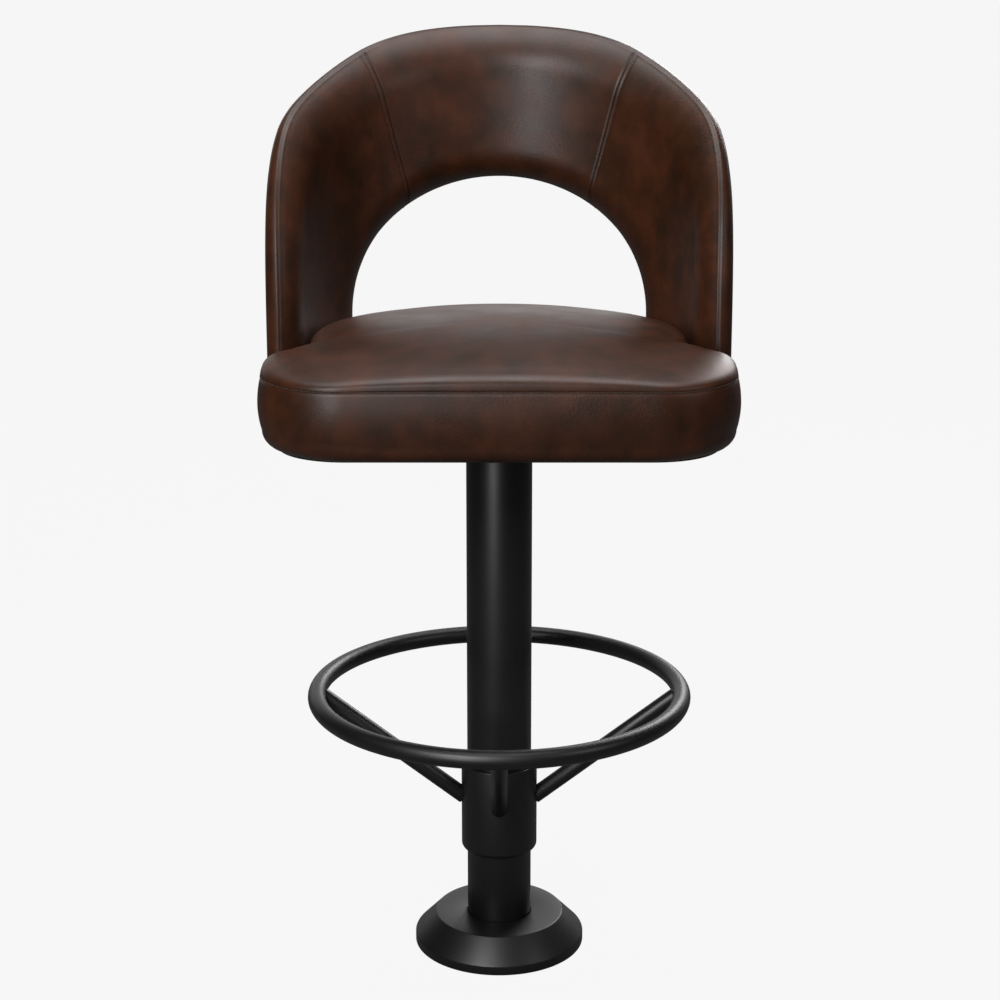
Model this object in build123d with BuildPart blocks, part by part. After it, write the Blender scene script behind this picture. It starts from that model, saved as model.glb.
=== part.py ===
from build123d import *
import os
from math import asin, atan2, cos, degrees, hypot, radians, sin, sqrt, tan

# A bolt-down bar stool: floor plate, column, swivel, foot ring, padded seat and barrel back.
# Millimetres, +Z up, origin on the floor at the column's axis, the sitter faces -Y.

# Clearances shared by the pieces
fit_gap = 0.05
running_gap = 0.1
weld_gap = 0.1
seam_gap = 0.3
foam_gap = 0.3

# Floor plate, anchored under the trim cover
floor_plate_d = 178
floor_plate_t = 9.5
anchor_edge = 25.5
anchor_hole_d = 11.1
anchor_count = 4
anchor_start = 45
plate_edge_r = 1
anchor_circle_d = floor_plate_d - 2 * anchor_edge

# Column
column_d = 76.2
column_wall = 3.05

# Trim cover over the floor plate
cover_plate_gap = 10.5
cover_wall = 2
cover_top_d = 152.4
cover_rim_h = 11
cover_h = 37
cover_column_gap = 0.6
cover_edge_r = 2.5
cover_d = floor_plate_d + 2 * (cover_plate_gap + cover_wall)

# Foot ring on its clamped sleeve
sleeve_gap = 0.3
sleeve_wall = 6.6
sleeve_bottom = 121
sleeve_h = 109
sleeve_bottom_r = 6
sleeve_top_r = 1.5
ring_r = 215
ring_bar_d = 21.3
ring_h = 317
spoke_d = 19
spoke_foot_h = 187
clamp_screw_d = 8
clamp_screw_h = 24
clamp_socket = 4
clamp_socket_depth = 4
clamp_angles = (50, 130)
sleeve_d = column_d + 2 * (sleeve_gap + sleeve_wall)

# Seat cushion
seat_bottom = 641
seat_front = 202
seat_half_w = 263
front_corner_r = 99
wing_corner_r = 44
notch_r = 6
wing_flat = 1
boxing_h = 79
boxing_swell = 4
swell_h = 49
bottom_roll = 17
bottom_roll_angles = (0, 40, 90)
top_roll_h = 35
top_roll_w = 40
top_roll_angles = (0, 30, 55, 78)
crown_h = 115
crown_r = 1800
leather_t = 2
leather_wrap = 20

# Barrel back
back_in_r = 221
back_out_r = 261
back_top = 1083
back_recline = 5
back_pivot_h = 735
leg_bottom = 650
arm_front = 44
arm_corner_h = 923
arm_lean = 13
slope_end_y = 266
arm_bend_r = 290
crest_bend_r = 225
edge_r = 18
opening_half_w = 179
opening_top = 899
arch_step = 15
arch_near_y = 55
welt_r = 247
panel_seam_low_x = 112
panel_seam_low_h = 900
panel_seam_lean = 0.25
shell_t = 12
shell_in_r = 238
shell_inset = 14
arm_gap = 5

# Seat board and its fastenings
board_t = 15
board_inset = 20
dust_t = 1
dust_inset = 22
dust_plate_gap = 1

# Swivel between the column and the seat
seat_plate_w = 203
seat_plate_t = 6.35
seat_plate_corner = 20
plate_hole_spacing = 152.4
spindle_d = 30
hub_d = 64
hub_h = 12
thrust_t = 3
thrust_bore_gap = 0.5
housing_flange_t = 6
housing_h = 60
bush_wall = 4
bush_l = 22
keeper_t = 3
keeper_d = 52
clip_t = 2
clip_d = 38
clip_groove = 1.4
clip_slot = 8
spindle_tail = 5

# Bolts, tee nuts and brackets
plate_bolt_d = 7.94
plate_bolt_head = 12.7
plate_bolt_head_h = 5.5
plate_washer_d = 18
plate_washer_t = 1.8
tee_wall = 1.2
tee_flange_d = 22
tee_flange_t = 1.5
tee_barrel = 10
bolt_hole_gap = 0.5
bracket_w = 44
bracket_t = 5
bracket_rise = 72
bracket_in_x = 145
bracket_bend_r = 6
bracket_screw_d = 5
bracket_screw_l = 18
bracket_screw_head = 10
bracket_screw_head_h = 3
bracket_screw_edge = 12
bracket_screw_pitch = 22
back_bolt_d = 6.35
back_bolt_head = 13
back_bolt_head_h = 3.5
back_bolt_low = 38
back_bolt_pitch = 24
back_tee_barrel = 9

# Heights and sizes that follow from the ones above
board_bottom = seat_bottom + leather_t + fit_gap
board_top = board_bottom + board_t
plate_bottom = board_bottom - seat_plate_t
hub_bottom = plate_bottom - hub_h
thrust_bottom = hub_bottom - running_gap - thrust_t
column_top = thrust_bottom - housing_flange_t
housing_bottom = column_top - housing_h
keeper_bottom = housing_bottom - running_gap - keeper_t
clip_bottom = keeper_bottom - clip_t
spindle_bottom = clip_bottom - spindle_tail
bush_in_d = spindle_d + 2 * fit_gap
bush_out_d = bush_in_d + 2 * bush_wall
housing_d = column_d - 2 * (column_wall + fit_gap)
wing_back = arm_front + arm_gap
seat_rear_r = back_in_r - arm_gap
bracket_top = seat_bottom - dust_t
shell_out_r = shell_in_r + shell_t
tilt = radians(back_recline)
bracket_reach = bracket_w / 2 + (back_pivot_h - bracket_top) * sin(tilt)
bracket_face_x = sqrt(shell_in_r**2 - bracket_reach**2) - fit_gap

os.makedirs("parts", exist_ok=True)


def save(piece, name):
    piece.part.label = name
    export_step(piece.part, f"parts/{name}.step")


def polar(radius, angle, height):
    return (radius * cos(radians(angle)), radius * sin(radians(angle)), height)


def radial_plane(radius, angle, height):
    return Plane(origin=polar(radius, angle, height), z_dir=polar(1, angle, 0))


# Floor plate: round steel plate that the anchors hold to the floor
with BuildPart() as floor_plate:
    with BuildSketch():
        Circle(floor_plate_d / 2)
        with PolarLocations(anchor_circle_d / 2, anchor_count, start_angle=anchor_start):
            Circle(anchor_hole_d / 2, mode=Mode.SUBTRACT)
    extrude(amount=floor_plate_t)
    rim = floor_plate.edges().filter_by(GeomType.CIRCLE).group_by(Axis.Z)[-1].sort_by(SortBy.RADIUS)[-1]
    fillet(rim, plate_edge_r)
save(floor_plate, "floor_plate")

# Column: welded steel tube from the floor plate up to the swivel
with BuildPart() as column_tube:
    with BuildSketch(Plane.XY.offset(floor_plate_t)):
        Circle(column_d / 2)
        Circle(column_d / 2 - column_wall, mode=Mode.SUBTRACT)
    extrude(amount=column_top - floor_plate_t)
save(column_tube, "column_tube")

# Trim cover: spun steel cone that hides the anchors and lifts up the column
with BuildPart() as base_cover:
    with BuildSketch(Plane.XZ):
        with BuildLine():
            Polyline(
                (0, 0),
                (cover_d / 2, 0),
                (cover_d / 2, cover_rim_h),
                (cover_top_d / 2, cover_h),
                (0, cover_h),
                close=True,
            )
        make_face()
    revolve(axis=Axis.Z)
    rims = base_cover.edges().filter_by(GeomType.CIRCLE).filter_by_position(Axis.Z, cover_wall, cover_h)
    fillet(rims, cover_edge_r)
    offset(amount=-cover_wall, openings=base_cover.faces().sort_by(Axis.Z)[0])
    with BuildSketch():
        Circle(column_d / 2 + cover_column_gap)
    extrude(amount=cover_h, mode=Mode.SUBTRACT)
save(base_cover, "base_cover")

# Sleeve: slides on the column and carries the foot ring, clamped by two screws at the back
with BuildPart() as ring_sleeve:
    with BuildSketch(Plane.XY.offset(sleeve_bottom)):
        Circle(sleeve_d / 2)
        Circle(column_d / 2 + sleeve_gap, mode=Mode.SUBTRACT)
    extrude(amount=sleeve_h)
    outer = ring_sleeve.edges().filter_by(GeomType.CIRCLE).sort_by(SortBy.RADIUS)[-2:]
    fillet(outer.sort_by(Axis.Z)[0], sleeve_bottom_r)
    fillet(outer.sort_by(Axis.Z)[-1], sleeve_top_r)
    for angle in clamp_angles:
        with BuildSketch(radial_plane(column_d / 2, angle, sleeve_bottom + clamp_screw_h)):
            Circle(clamp_screw_d / 2 + fit_gap)
        extrude(amount=2 * (sleeve_gap + sleeve_wall), mode=Mode.SUBTRACT)
save(ring_sleeve, "ring_sleeve")

# Foot ring: round bar rolled to a full circle
with BuildPart() as foot_ring:
    with BuildSketch(Plane.XZ):
        with Locations((ring_r, ring_h)):
            Circle(ring_bar_d / 2)
    revolve(axis=Axis.Z)
save(foot_ring, "foot_ring")


# Spokes: four bars that rise from the sleeve to the ring, their ends shaped to both
def spoke(angle):
    foot = Vector(*polar(sleeve_d / 4, angle, 0))
    tip = Vector(*polar(ring_r, angle, ring_h))
    rise = (ring_h - spoke_foot_h) / (ring_r - sleeve_d / 2)
    foot = Vector(foot.X, foot.Y, ring_h - rise * (ring_r - sleeve_d / 4))
    with BuildPart() as bar:
        with BuildSketch(Plane(origin=foot, z_dir=tip - foot)):
            Circle(spoke_d / 2)
        extrude(amount=(tip - foot).length)
        with BuildSketch():
            Circle(sleeve_d / 2 + weld_gap)
        extrude(amount=ring_h, mode=Mode.SUBTRACT)
        with BuildSketch(Plane.XZ):
            with Locations((ring_r, ring_h)):
                Circle(ring_bar_d / 2 + weld_gap)
        revolve(axis=Axis.Z, mode=Mode.SUBTRACT)
    return bar


for spoke_name, spoke_angle in (("right", 0), ("rear", 90), ("left", 180), ("front", 270)):
    save(spoke(spoke_angle), f"spoke_{spoke_name}")

# Clamp screws: socket set screws in the back of the sleeve
with BuildPart() as clamp_screws:
    for angle in clamp_angles:
        with BuildSketch(radial_plane(column_d / 2 + sleeve_gap, angle, sleeve_bottom + clamp_screw_h)):
            Circle(clamp_screw_d / 2)
        extrude(amount=sleeve_wall)
        with BuildSketch(radial_plane(sleeve_d / 2, angle, sleeve_bottom + clamp_screw_h)):
            RegularPolygon(clamp_socket / 2, 6, major_radius=False)
        extrude(amount=-clamp_socket_depth, mode=Mode.SUBTRACT)
save(clamp_screws, "clamp_screws")


# Plain turned pieces of the swivel share one function
def turned_ring(outer_d, inner_d, low, high):
    with BuildPart() as ring:
        with BuildSketch(Plane.XY.offset(low)):
            Circle(outer_d / 2)
            Circle(inner_d / 2, mode=Mode.SUBTRACT)
        extrude(amount=high - low)
    return ring


# Swivel housing: flanged insert welded in the column's top, with a bush at each end of its bore
with BuildPart() as swivel_housing:
    with BuildSketch(Plane.XY.offset(housing_bottom)):
        Circle(housing_d / 2)
    extrude(amount=housing_h)
    with BuildSketch(Plane.XY.offset(column_top)):
        Circle(column_d / 2)
    extrude(amount=housing_flange_t)
    with BuildSketch(Plane.XY.offset(housing_bottom)):
        Circle(bush_out_d / 2 + fit_gap)
    extrude(amount=housing_h + housing_flange_t, mode=Mode.SUBTRACT)
save(swivel_housing, "swivel_housing")
save(turned_ring(bush_out_d, bush_in_d, housing_bottom, housing_bottom + bush_l), "lower_bush")
save(turned_ring(bush_out_d, bush_in_d, thrust_bottom - bush_l, thrust_bottom), "upper_bush")
washer_bore = spindle_d + 2 * thrust_bore_gap
save(turned_ring(hub_d, washer_bore, thrust_bottom, thrust_bottom + thrust_t), "thrust_washer")
save(turned_ring(keeper_d, washer_bore, keeper_bottom, keeper_bottom + keeper_t), "keeper_washer")

# Spindle: turned shaft with a hub that is welded under the seat plate and a groove for its clip
with BuildPart() as swivel_spindle:
    with BuildSketch(Plane.XY.offset(hub_bottom)):
        Circle(hub_d / 2)
    extrude(amount=hub_h)
    with BuildSketch(Plane.XY.offset(spindle_bottom)):
        Circle(spindle_d / 2)
    extrude(amount=hub_bottom - spindle_bottom)
    with BuildSketch(Plane.XY.offset(clip_bottom)):
        Circle(spindle_d)
        Circle(spindle_d / 2 - clip_groove, mode=Mode.SUBTRACT)
    extrude(amount=clip_t, mode=Mode.SUBTRACT)
save(swivel_spindle, "swivel_spindle")

# Retaining clip: open spring ring in the spindle's groove
with BuildPart() as retaining_clip:
    with BuildSketch(Plane.XY.offset(clip_bottom)):
        Circle(clip_d / 2)
        Circle(spindle_d / 2 - clip_groove + fit_gap, mode=Mode.SUBTRACT)
        with Locations((0, clip_d / 2)):
            Rectangle(clip_slot, clip_d, mode=Mode.SUBTRACT)
    extrude(amount=clip_t)
save(retaining_clip, "retaining_clip")


# Seat outline in plan: straight front, round corners, wings before the arms, round rear inside the back
def seat_outline(inset, height):
    notch_y = notch_r - wing_back
    notch_x = sqrt((seat_rear_r + notch_r) ** 2 - notch_y**2)
    notch_turn = degrees(atan2(notch_y, notch_x))
    wing_r = min(wing_corner_r, seat_half_w - notch_x - wing_flat)
    corner_r = min(front_corner_r, seat_front - wing_back - wing_r - wing_flat)
    corner_x = seat_half_w - corner_r
    wing_x = seat_half_w - wing_r
    wing_y = -wing_back - wing_r
    with BuildSketch(Plane.XY.offset(height)) as outline:
        with BuildLine():
            Line((0, inset - seat_front), (corner_x, inset - seat_front))
            CenterArc((corner_x, corner_r - seat_front), corner_r - inset, -90, 90)
            Line((seat_half_w - inset, corner_r - seat_front), (seat_half_w - inset, wing_y))
            CenterArc((wing_x, wing_y), wing_r - inset, 0, 90)
            Line((wing_x, -wing_back - inset), (notch_x, -wing_back - inset))
            CenterArc((notch_x, notch_y), notch_r + inset, -90, notch_turn - 90)
            CenterArc((0, 0), seat_rear_r - inset, notch_turn, 90 - notch_turn)
            mirror(about=Plane.YZ)
        make_face()
    return outline.sketch


# Seat form: boxing that swells, a roll above its seam and below it, and a crown
def seat_form(skin):
    levels = []
    for angle in bottom_roll_angles:
        turn = radians(angle)
        levels.append((bottom_roll * (1 - cos(turn)), boxing_swell + bottom_roll * (1 - sin(turn))))
    levels.append((swell_h, 0))
    for angle in top_roll_angles:
        turn = radians(angle)
        levels.append((boxing_h + top_roll_h * sin(turn), boxing_swell + top_roll_w * (1 - cos(turn))))
    squeeze = 1 - 2 * skin / (boxing_h + top_roll_h)
    with BuildPart() as form:
        loft([seat_outline(inset + skin, seat_bottom + skin + height * squeeze) for height, inset in levels])
        extrude(form.faces().sort_by(Axis.Z)[-1], amount=crown_h)
        with Locations((0, 0, seat_bottom + crown_h - skin - crown_r)):
            Sphere(crown_r, mode=Mode.INTERSECT)
    return form.part


# Back form: a reclined barrel wall, cut by its side profile and by the arched opening
# The barrel's seam line lies in its open front, clear of the wall
def barrel_plane():
    up = Vector(0, sin(tilt), cos(tilt))
    return Plane(origin=Vector(0, 0, back_pivot_h) - up * back_top, x_dir=(0, -1, 0), z_dir=up)


def barrel(radius):
    with BuildPart() as drum:
        with BuildSketch(barrel_plane()):
            Circle(radius)
        extrude(amount=2 * back_top)
    return drum.part


# The opening is an ellipse on the wall's middle surface, with its edge square to the wall
def arch_outline(plane_y, inset):
    mid_r = (back_in_r + back_out_r) / 2
    points = []
    for angle in range(0, 180 + arch_step, arch_step):
        across = asin(opening_half_w / mid_r * cos(radians(angle))) + inset / mid_r * cos(radians(angle))
        rise = (opening_top - back_pivot_h + inset) * sin(radians(angle))
        points.append((plane_y * tan(across), back_pivot_h + rise))
    with BuildSketch(Plane.XZ.offset(-plane_y)) as outline:
        with BuildLine():
            for start, middle, end in zip(points[0::2], points[1::2], points[2::2]):
                ThreePointArc(start, middle, end)
            Polyline(points[-1], (points[-1][0], 0), (points[0][0], 0), points[0])
        make_face()
    return outline.sketch


# True for an edge that follows the wall at this radius, above the leg's foot
def runs_along(edge, radius):
    points = [edge @ at for at in (0.2, 0.5, 0.8)]
    off = [hypot(p.X, p.Y * cos(tilt) - (p.Z - back_pivot_h) * sin(tilt)) - radius for p in points]
    return max(abs(gap) for gap in off) < fit_gap and points[1].Z > leg_bottom + edge_r


def back_form(inset, inner_r, outer_r, round_r):
    reach = 2 * back_out_r
    with BuildPart() as form:
        with BuildSketch(barrel_plane()):
            Circle(outer_r)
            Circle(inner_r, mode=Mode.SUBTRACT)
        extrude(amount=2 * back_top)
        with BuildSketch(Plane.YZ):
            with BuildLine():
                FilletPolyline(
                    (-arm_front, leg_bottom),
                    (-arm_front + arm_lean, arm_corner_h),
                    (slope_end_y, back_top),
                    (reach, back_top),
                    radius=(arm_bend_r, crest_bend_r),
                )
                Polyline((reach, back_top), (reach, leg_bottom), (-arm_front, leg_bottom))
            make_face()
            if inset:
                offset(amount=-inset)
        extrude(amount=reach, both=True, mode=Mode.INTERSECT)
        loft([arch_outline(arch_near_y, inset), arch_outline(reach, inset)], ruled=True, mode=Mode.SUBTRACT)
        if round_r:
            rims = form.edges().filter_by(lambda e: runs_along(e, inner_r) or runs_along(e, outer_r))
            fillet(rims, round_r)
    return form.part


# Places that repeat on the seat: the plate's bolts, and the brackets' screws and bolts on each side
plate_holes = GridLocations(plate_hole_spacing, plate_hole_spacing, 2, 2).locations
screw_x = [bracket_in_x + bracket_screw_edge + i * bracket_screw_pitch for i in (0, 1)]
bolt_h = [bracket_top + back_bolt_low + i * back_bolt_pitch for i in (0, 1)]


# Solid rods standing in the seat's underside or lying across the back's legs, for pieces and their holes
def upright_rods(places, diameter, low, high):
    with BuildPart() as rods:
        with BuildSketch(Plane.XY.offset(low)):
            with Locations(*places):
                Circle(diameter / 2)
        extrude(amount=high - low)
    return rods.part


def cross_rods(diameter, low_x, high_x):
    with BuildPart() as rods:
        for side in (1, -1):
            with BuildSketch(Plane(origin=(side * low_x, 0, 0), x_dir=(0, 1, 0), z_dir=(side, 0, 0))):
                with Locations(*[(0, side * height) for height in bolt_h]):
                    Circle(diameter / 2)
            extrude(amount=high_x - low_x)
    return rods.part


plate_places = [(place.position.X, place.position.Y) for place in plate_holes]
screw_places = [(side * x, 0) for side in (1, -1) for x in screw_x]
tee_d = plate_bolt_d + 2 * (fit_gap + tee_wall)
back_tee_d = back_bolt_d + 2 * (fit_gap + tee_wall)
screw_low = bracket_top - bracket_t

# Seat plate: square steel plate welded on the spindle's hub and bolted under the seat board
with BuildPart() as seat_plate:
    with BuildSketch(Plane.XY.offset(plate_bottom)):
        RectangleRounded(seat_plate_w, seat_plate_w, seat_plate_corner)
        with Locations(*plate_places):
            Circle(plate_bolt_d / 2 + bolt_hole_gap, mode=Mode.SUBTRACT)
    extrude(amount=seat_plate_t)
save(seat_plate, "seat_plate")

# Plate washers, bolts and tee nuts
with BuildPart() as plate_washers:
    add(upright_rods(plate_places, plate_washer_d, plate_bottom - plate_washer_t, plate_bottom))
    add(upright_rods(plate_places, plate_bolt_d + 2 * bolt_hole_gap, 0, plate_bottom), mode=Mode.SUBTRACT)
save(plate_washers, "plate_washers")

with BuildPart() as plate_bolts:
    with BuildSketch(Plane.XY.offset(plate_bottom - plate_washer_t - plate_bolt_head_h)):
        with Locations(*plate_places):
            RegularPolygon(plate_bolt_head / 2, 6, major_radius=False)
    extrude(amount=plate_bolt_head_h)
    add(upright_rods(plate_places, plate_bolt_d, plate_bottom - plate_washer_t, board_top))
save(plate_bolts, "plate_bolts")

with BuildPart() as seat_tee_nuts:
    add(upright_rods(plate_places, tee_d, board_top - tee_barrel, board_top))
    add(upright_rods(plate_places, tee_flange_d, board_top, board_top + tee_flange_t))
    add(upright_rods(plate_places, plate_bolt_d + 2 * fit_gap, 0, seat_bottom + crown_h), mode=Mode.SUBTRACT)
save(seat_tee_nuts, "seat_tee_nuts")


# A slab with the seat's outline, drawn in by an inset
def seat_slab(inset, low, high):
    with BuildPart() as slab:
        add(seat_outline(inset, low))
        extrude(amount=high - low)
    return slab.part


# Seat board: plywood base of the cushion, drilled for the tee nuts and the bracket screws
with BuildPart() as seat_board:
    add(seat_slab(board_inset, board_bottom, board_top))
    add(upright_rods(plate_places, tee_d + 2 * fit_gap, board_bottom, board_top), mode=Mode.SUBTRACT)
    screw_bores = upright_rods(screw_places, bracket_screw_d + 2 * fit_gap, 0, screw_low + bracket_screw_l)
    add(screw_bores, mode=Mode.SUBTRACT)
save(seat_board, "seat_board")

# Seat foam: fills the leather cover and lies over and around the board
seat_padding = seat_form(leather_t)
with BuildPart() as seat_foam:
    add(seat_padding)
    add(seat_slab(board_inset - foam_gap, seat_bottom, board_top + foam_gap), mode=Mode.SUBTRACT)
    flange_top = board_top + tee_flange_t + foam_gap
    add(upright_rods(plate_places, tee_flange_d + 2 * foam_gap, board_top, flange_top), mode=Mode.SUBTRACT)
save(seat_foam, "seat_foam")

# Seat leather: a skin over the foam, in a top panel and a boxing band that meet at the seam
seam_h = seat_bottom + boxing_h
with BuildPart() as seat_leather:
    add(seat_form(0))
    add(seat_padding, mode=Mode.SUBTRACT)

with BuildPart() as seat_top_panel:
    add(seat_leather.part)
    split(bisect_by=Plane.XY.offset(seam_h + seam_gap / 2), keep=Keep.TOP)
save(seat_top_panel, "seat_top_panel")

# The boxing wraps under the board and is stapled there, round an open middle
with BuildPart() as seat_boxing:
    add(seat_leather.part)
    split(bisect_by=Plane.XY.offset(seam_h - seam_gap / 2), keep=Keep.BOTTOM)
    wrap_inset = boxing_swell + bottom_roll + leather_wrap
    add(seat_slab(wrap_inset, seat_bottom - leather_t, board_bottom), mode=Mode.SUBTRACT)
    add(upright_rods(screw_places, bracket_screw_d + 2 * bolt_hole_gap, 0, board_bottom), mode=Mode.SUBTRACT)
save(seat_boxing, "seat_boxing")

# Dust cover: black cloth stapled under the seat, cut out round the seat plate
with BuildPart() as dust_cover:
    add(seat_slab(dust_inset, bracket_top, seat_bottom))
    with BuildSketch(Plane.XY.offset(bracket_top)):
        RectangleRounded(
            seat_plate_w + 2 * dust_plate_gap,
            seat_plate_w + 2 * dust_plate_gap,
            seat_plate_corner + dust_plate_gap,
        )
    extrude(amount=dust_t, mode=Mode.SUBTRACT)
    add(upright_rods(screw_places, bracket_screw_d + 2 * bolt_hole_gap, 0, board_bottom), mode=Mode.SUBTRACT)
save(dust_cover, "dust_cover")


# Back brackets: bent steel straps from under the seat board up inside the back's legs
def bracket_form(side, grow):
    low = bracket_top - bracket_t - grow
    high = bracket_top + bracket_rise + grow
    outside = side * (bracket_face_x + grow)
    inside = side * (bracket_face_x - bracket_t - grow)
    start = side * (bracket_in_x - grow)
    with BuildPart() as strap:
        with BuildSketch(Plane.XZ):
            with BuildLine():
                Polyline(
                    (start, low),
                    (outside, low),
                    (outside, high),
                    (inside, high),
                    (inside, bracket_top + grow),
                    (start, bracket_top + grow),
                    close=True,
                )
            make_face()
        extrude(amount=bracket_w / 2 + grow, both=True)
        bends = strap.edges().filter_by(Axis.Y).group_by(Axis.Z)[0]
        fillet(bends.sort_by(lambda e: abs(e.center().X))[-1], bracket_bend_r)
    return strap.part


bolt_head_x = bracket_face_x - bracket_t - back_bolt_head_h
tee_x = shell_out_r + tee_flange_t
for side_name, side in (("right", 1), ("left", -1)):
    with BuildPart() as bracket:
        add(bracket_form(side, 0))
        screw_hole_d = bracket_screw_d + 2 * bolt_hole_gap
        add(upright_rods(screw_places, screw_hole_d, 0, bracket_top), mode=Mode.SUBTRACT)
        add(cross_rods(back_bolt_d + 2 * bolt_hole_gap, bolt_head_x, tee_x), mode=Mode.SUBTRACT)
    save(bracket, f"back_bracket_{side_name}")

# Bracket screws into the seat board, and back bolts with tee nuts through the moulded shell
with BuildPart() as bracket_screws:
    add(upright_rods(screw_places, bracket_screw_head, screw_low - bracket_screw_head_h, screw_low))
    add(upright_rods(screw_places, bracket_screw_d, screw_low, screw_low + bracket_screw_l - fit_gap))
save(bracket_screws, "bracket_screws")

with BuildPart() as back_bolts:
    add(cross_rods(back_bolt_head, bolt_head_x, bolt_head_x + back_bolt_head_h))
    add(cross_rods(back_bolt_d, bolt_head_x + back_bolt_head_h, tee_x))
save(back_bolts, "back_bolts")

with BuildPart() as back_tee_nuts:
    add(cross_rods(back_tee_d, shell_out_r - back_tee_barrel, shell_out_r))
    add(cross_rods(tee_flange_d, shell_out_r, tee_x))
    add(cross_rods(back_bolt_d + 2 * fit_gap, 0, tee_x), mode=Mode.SUBTRACT)
save(back_tee_nuts, "back_tee_nuts")

# Back shell: moulded plywood inside the upholstery
with BuildPart() as back_shell:
    add(back_form(shell_inset, shell_in_r, shell_out_r, 0))
    add(cross_rods(back_tee_d + 2 * fit_gap, 0, back_out_r), mode=Mode.SUBTRACT)
save(back_shell, "back_shell")

# Back foam: an inner and an outer layer that meet round the shell's edges
back_padding = back_form(leather_t, back_in_r + leather_t, back_out_r - leather_t, edge_r - leather_t)
foam_split_r = (shell_in_r + shell_out_r) / 2
with BuildPart() as back_foam:
    add(back_padding)
    shell_room = back_form(shell_inset - foam_gap, shell_in_r - foam_gap, shell_out_r + foam_gap, 0)
    add(shell_room, mode=Mode.SUBTRACT)
    for side in (1, -1):
        add(bracket_form(side, foam_gap), mode=Mode.SUBTRACT)
    add(cross_rods(back_bolt_head + 2 * foam_gap, bolt_head_x - foam_gap, shell_in_r), mode=Mode.SUBTRACT)
    add(cross_rods(tee_flange_d + 2 * foam_gap, shell_in_r, tee_x + foam_gap), mode=Mode.SUBTRACT)

with BuildPart() as back_inner_foam:
    add(back_foam.part)
    add(barrel(foam_split_r - seam_gap / 2), mode=Mode.INTERSECT)
save(back_inner_foam, "back_inner_foam")

with BuildPart() as back_outer_foam:
    add(back_foam.part)
    add(barrel(foam_split_r + seam_gap / 2), mode=Mode.SUBTRACT)
save(back_outer_foam, "back_outer_foam")

# Back leather: one outside panel, and a lining of three panels, sewn together along the welt
back_cover = back_form(0, back_in_r, back_out_r, edge_r)
with BuildPart() as outside_back:
    add(back_cover)
    add(barrel(welt_r + seam_gap / 2), mode=Mode.SUBTRACT)
    add(back_padding, mode=Mode.SUBTRACT)
save(outside_back, "outside_back")

with BuildPart() as back_lining:
    add(back_cover)
    add(barrel(welt_r - seam_gap / 2), mode=Mode.INTERSECT)
    add(back_padding, mode=Mode.SUBTRACT)


# The middle of the lining lies between two seams that lean outwards to the top
def lining_wedge(widen):
    base_x = panel_seam_low_x + panel_seam_lean * (back_pivot_h - panel_seam_low_h) + widen
    high_x = base_x + panel_seam_lean * (2 * back_top - back_pivot_h)
    with BuildPart() as wedge:
        with BuildSketch(Plane.XZ):
            with BuildLine():
                Polyline(
                    (-base_x, back_pivot_h),
                    (base_x, back_pivot_h),
                    (high_x, 2 * back_top),
                    (-high_x, 2 * back_top),
                    close=True,
                )
            make_face()
        extrude(amount=-2 * back_out_r)
    return wedge.part


with BuildPart() as back_lining_centre:
    add(back_lining.part)
    add(lining_wedge(-seam_gap / 2), mode=Mode.INTERSECT)
save(back_lining_centre, "back_lining_centre")

# The side panels wrap under the legs, with a slot there for each bracket
for side_name, side, kept in (("right", 1, Keep.TOP), ("left", -1, Keep.BOTTOM)):
    with BuildPart() as lining_side:
        add(back_lining.part)
        add(lining_wedge(seam_gap / 2), mode=Mode.SUBTRACT)
        split(bisect_by=Plane.YZ, keep=kept)
        add(bracket_form(side, foam_gap), mode=Mode.SUBTRACT)
    save(lining_side, f"back_lining_{side_name}")
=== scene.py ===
import math

import bmesh
import bpy
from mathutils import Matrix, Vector


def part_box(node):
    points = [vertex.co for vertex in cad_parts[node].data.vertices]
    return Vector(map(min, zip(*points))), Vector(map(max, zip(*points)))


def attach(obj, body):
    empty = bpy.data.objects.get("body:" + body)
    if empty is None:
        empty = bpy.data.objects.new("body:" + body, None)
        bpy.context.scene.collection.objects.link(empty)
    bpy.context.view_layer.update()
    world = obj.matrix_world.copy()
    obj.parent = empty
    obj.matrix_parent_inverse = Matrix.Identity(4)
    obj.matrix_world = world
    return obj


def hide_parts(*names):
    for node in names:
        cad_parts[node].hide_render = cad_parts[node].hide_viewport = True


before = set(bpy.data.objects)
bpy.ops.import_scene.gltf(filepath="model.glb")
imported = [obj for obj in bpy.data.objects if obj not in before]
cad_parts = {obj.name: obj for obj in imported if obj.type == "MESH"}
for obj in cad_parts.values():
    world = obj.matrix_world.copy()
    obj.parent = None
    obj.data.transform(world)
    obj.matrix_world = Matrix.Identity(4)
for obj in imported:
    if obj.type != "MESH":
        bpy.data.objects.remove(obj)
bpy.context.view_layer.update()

# Column. A straight steel tube, cut square and welded to the floor plate.
# Satin black powder is sprayed on and baked: smooth, with a faint orange peel.
ARRIS = 0.0006
LATHE_STEPS = 160
SMOOTH_ANGLE = math.radians(35)


def srgb(hex_colour):
    channels = [int(hex_colour[i:i + 2], 16) / 255 for i in (1, 3, 5)]
    return [c / 12.92 if c <= 0.04045 else ((c + 0.055) / 1.055) ** 2.4 for c in channels] + [1]


def add_node(material, kind, inputs=None, **settings):
    made = material.node_tree.nodes.new(kind)
    for name, value in settings.items():
        setattr(made, name, value)
    for name, value in (inputs or {}).items():
        if isinstance(value, bpy.types.NodeSocket):
            material.node_tree.links.new(value, made.inputs[name])
        else:
            made.inputs[name].default_value = value
    return made


def blank_material(name):
    material = bpy.data.materials.new(name)
    material.use_nodes = True
    material.node_tree.nodes.clear()
    return material


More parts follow.
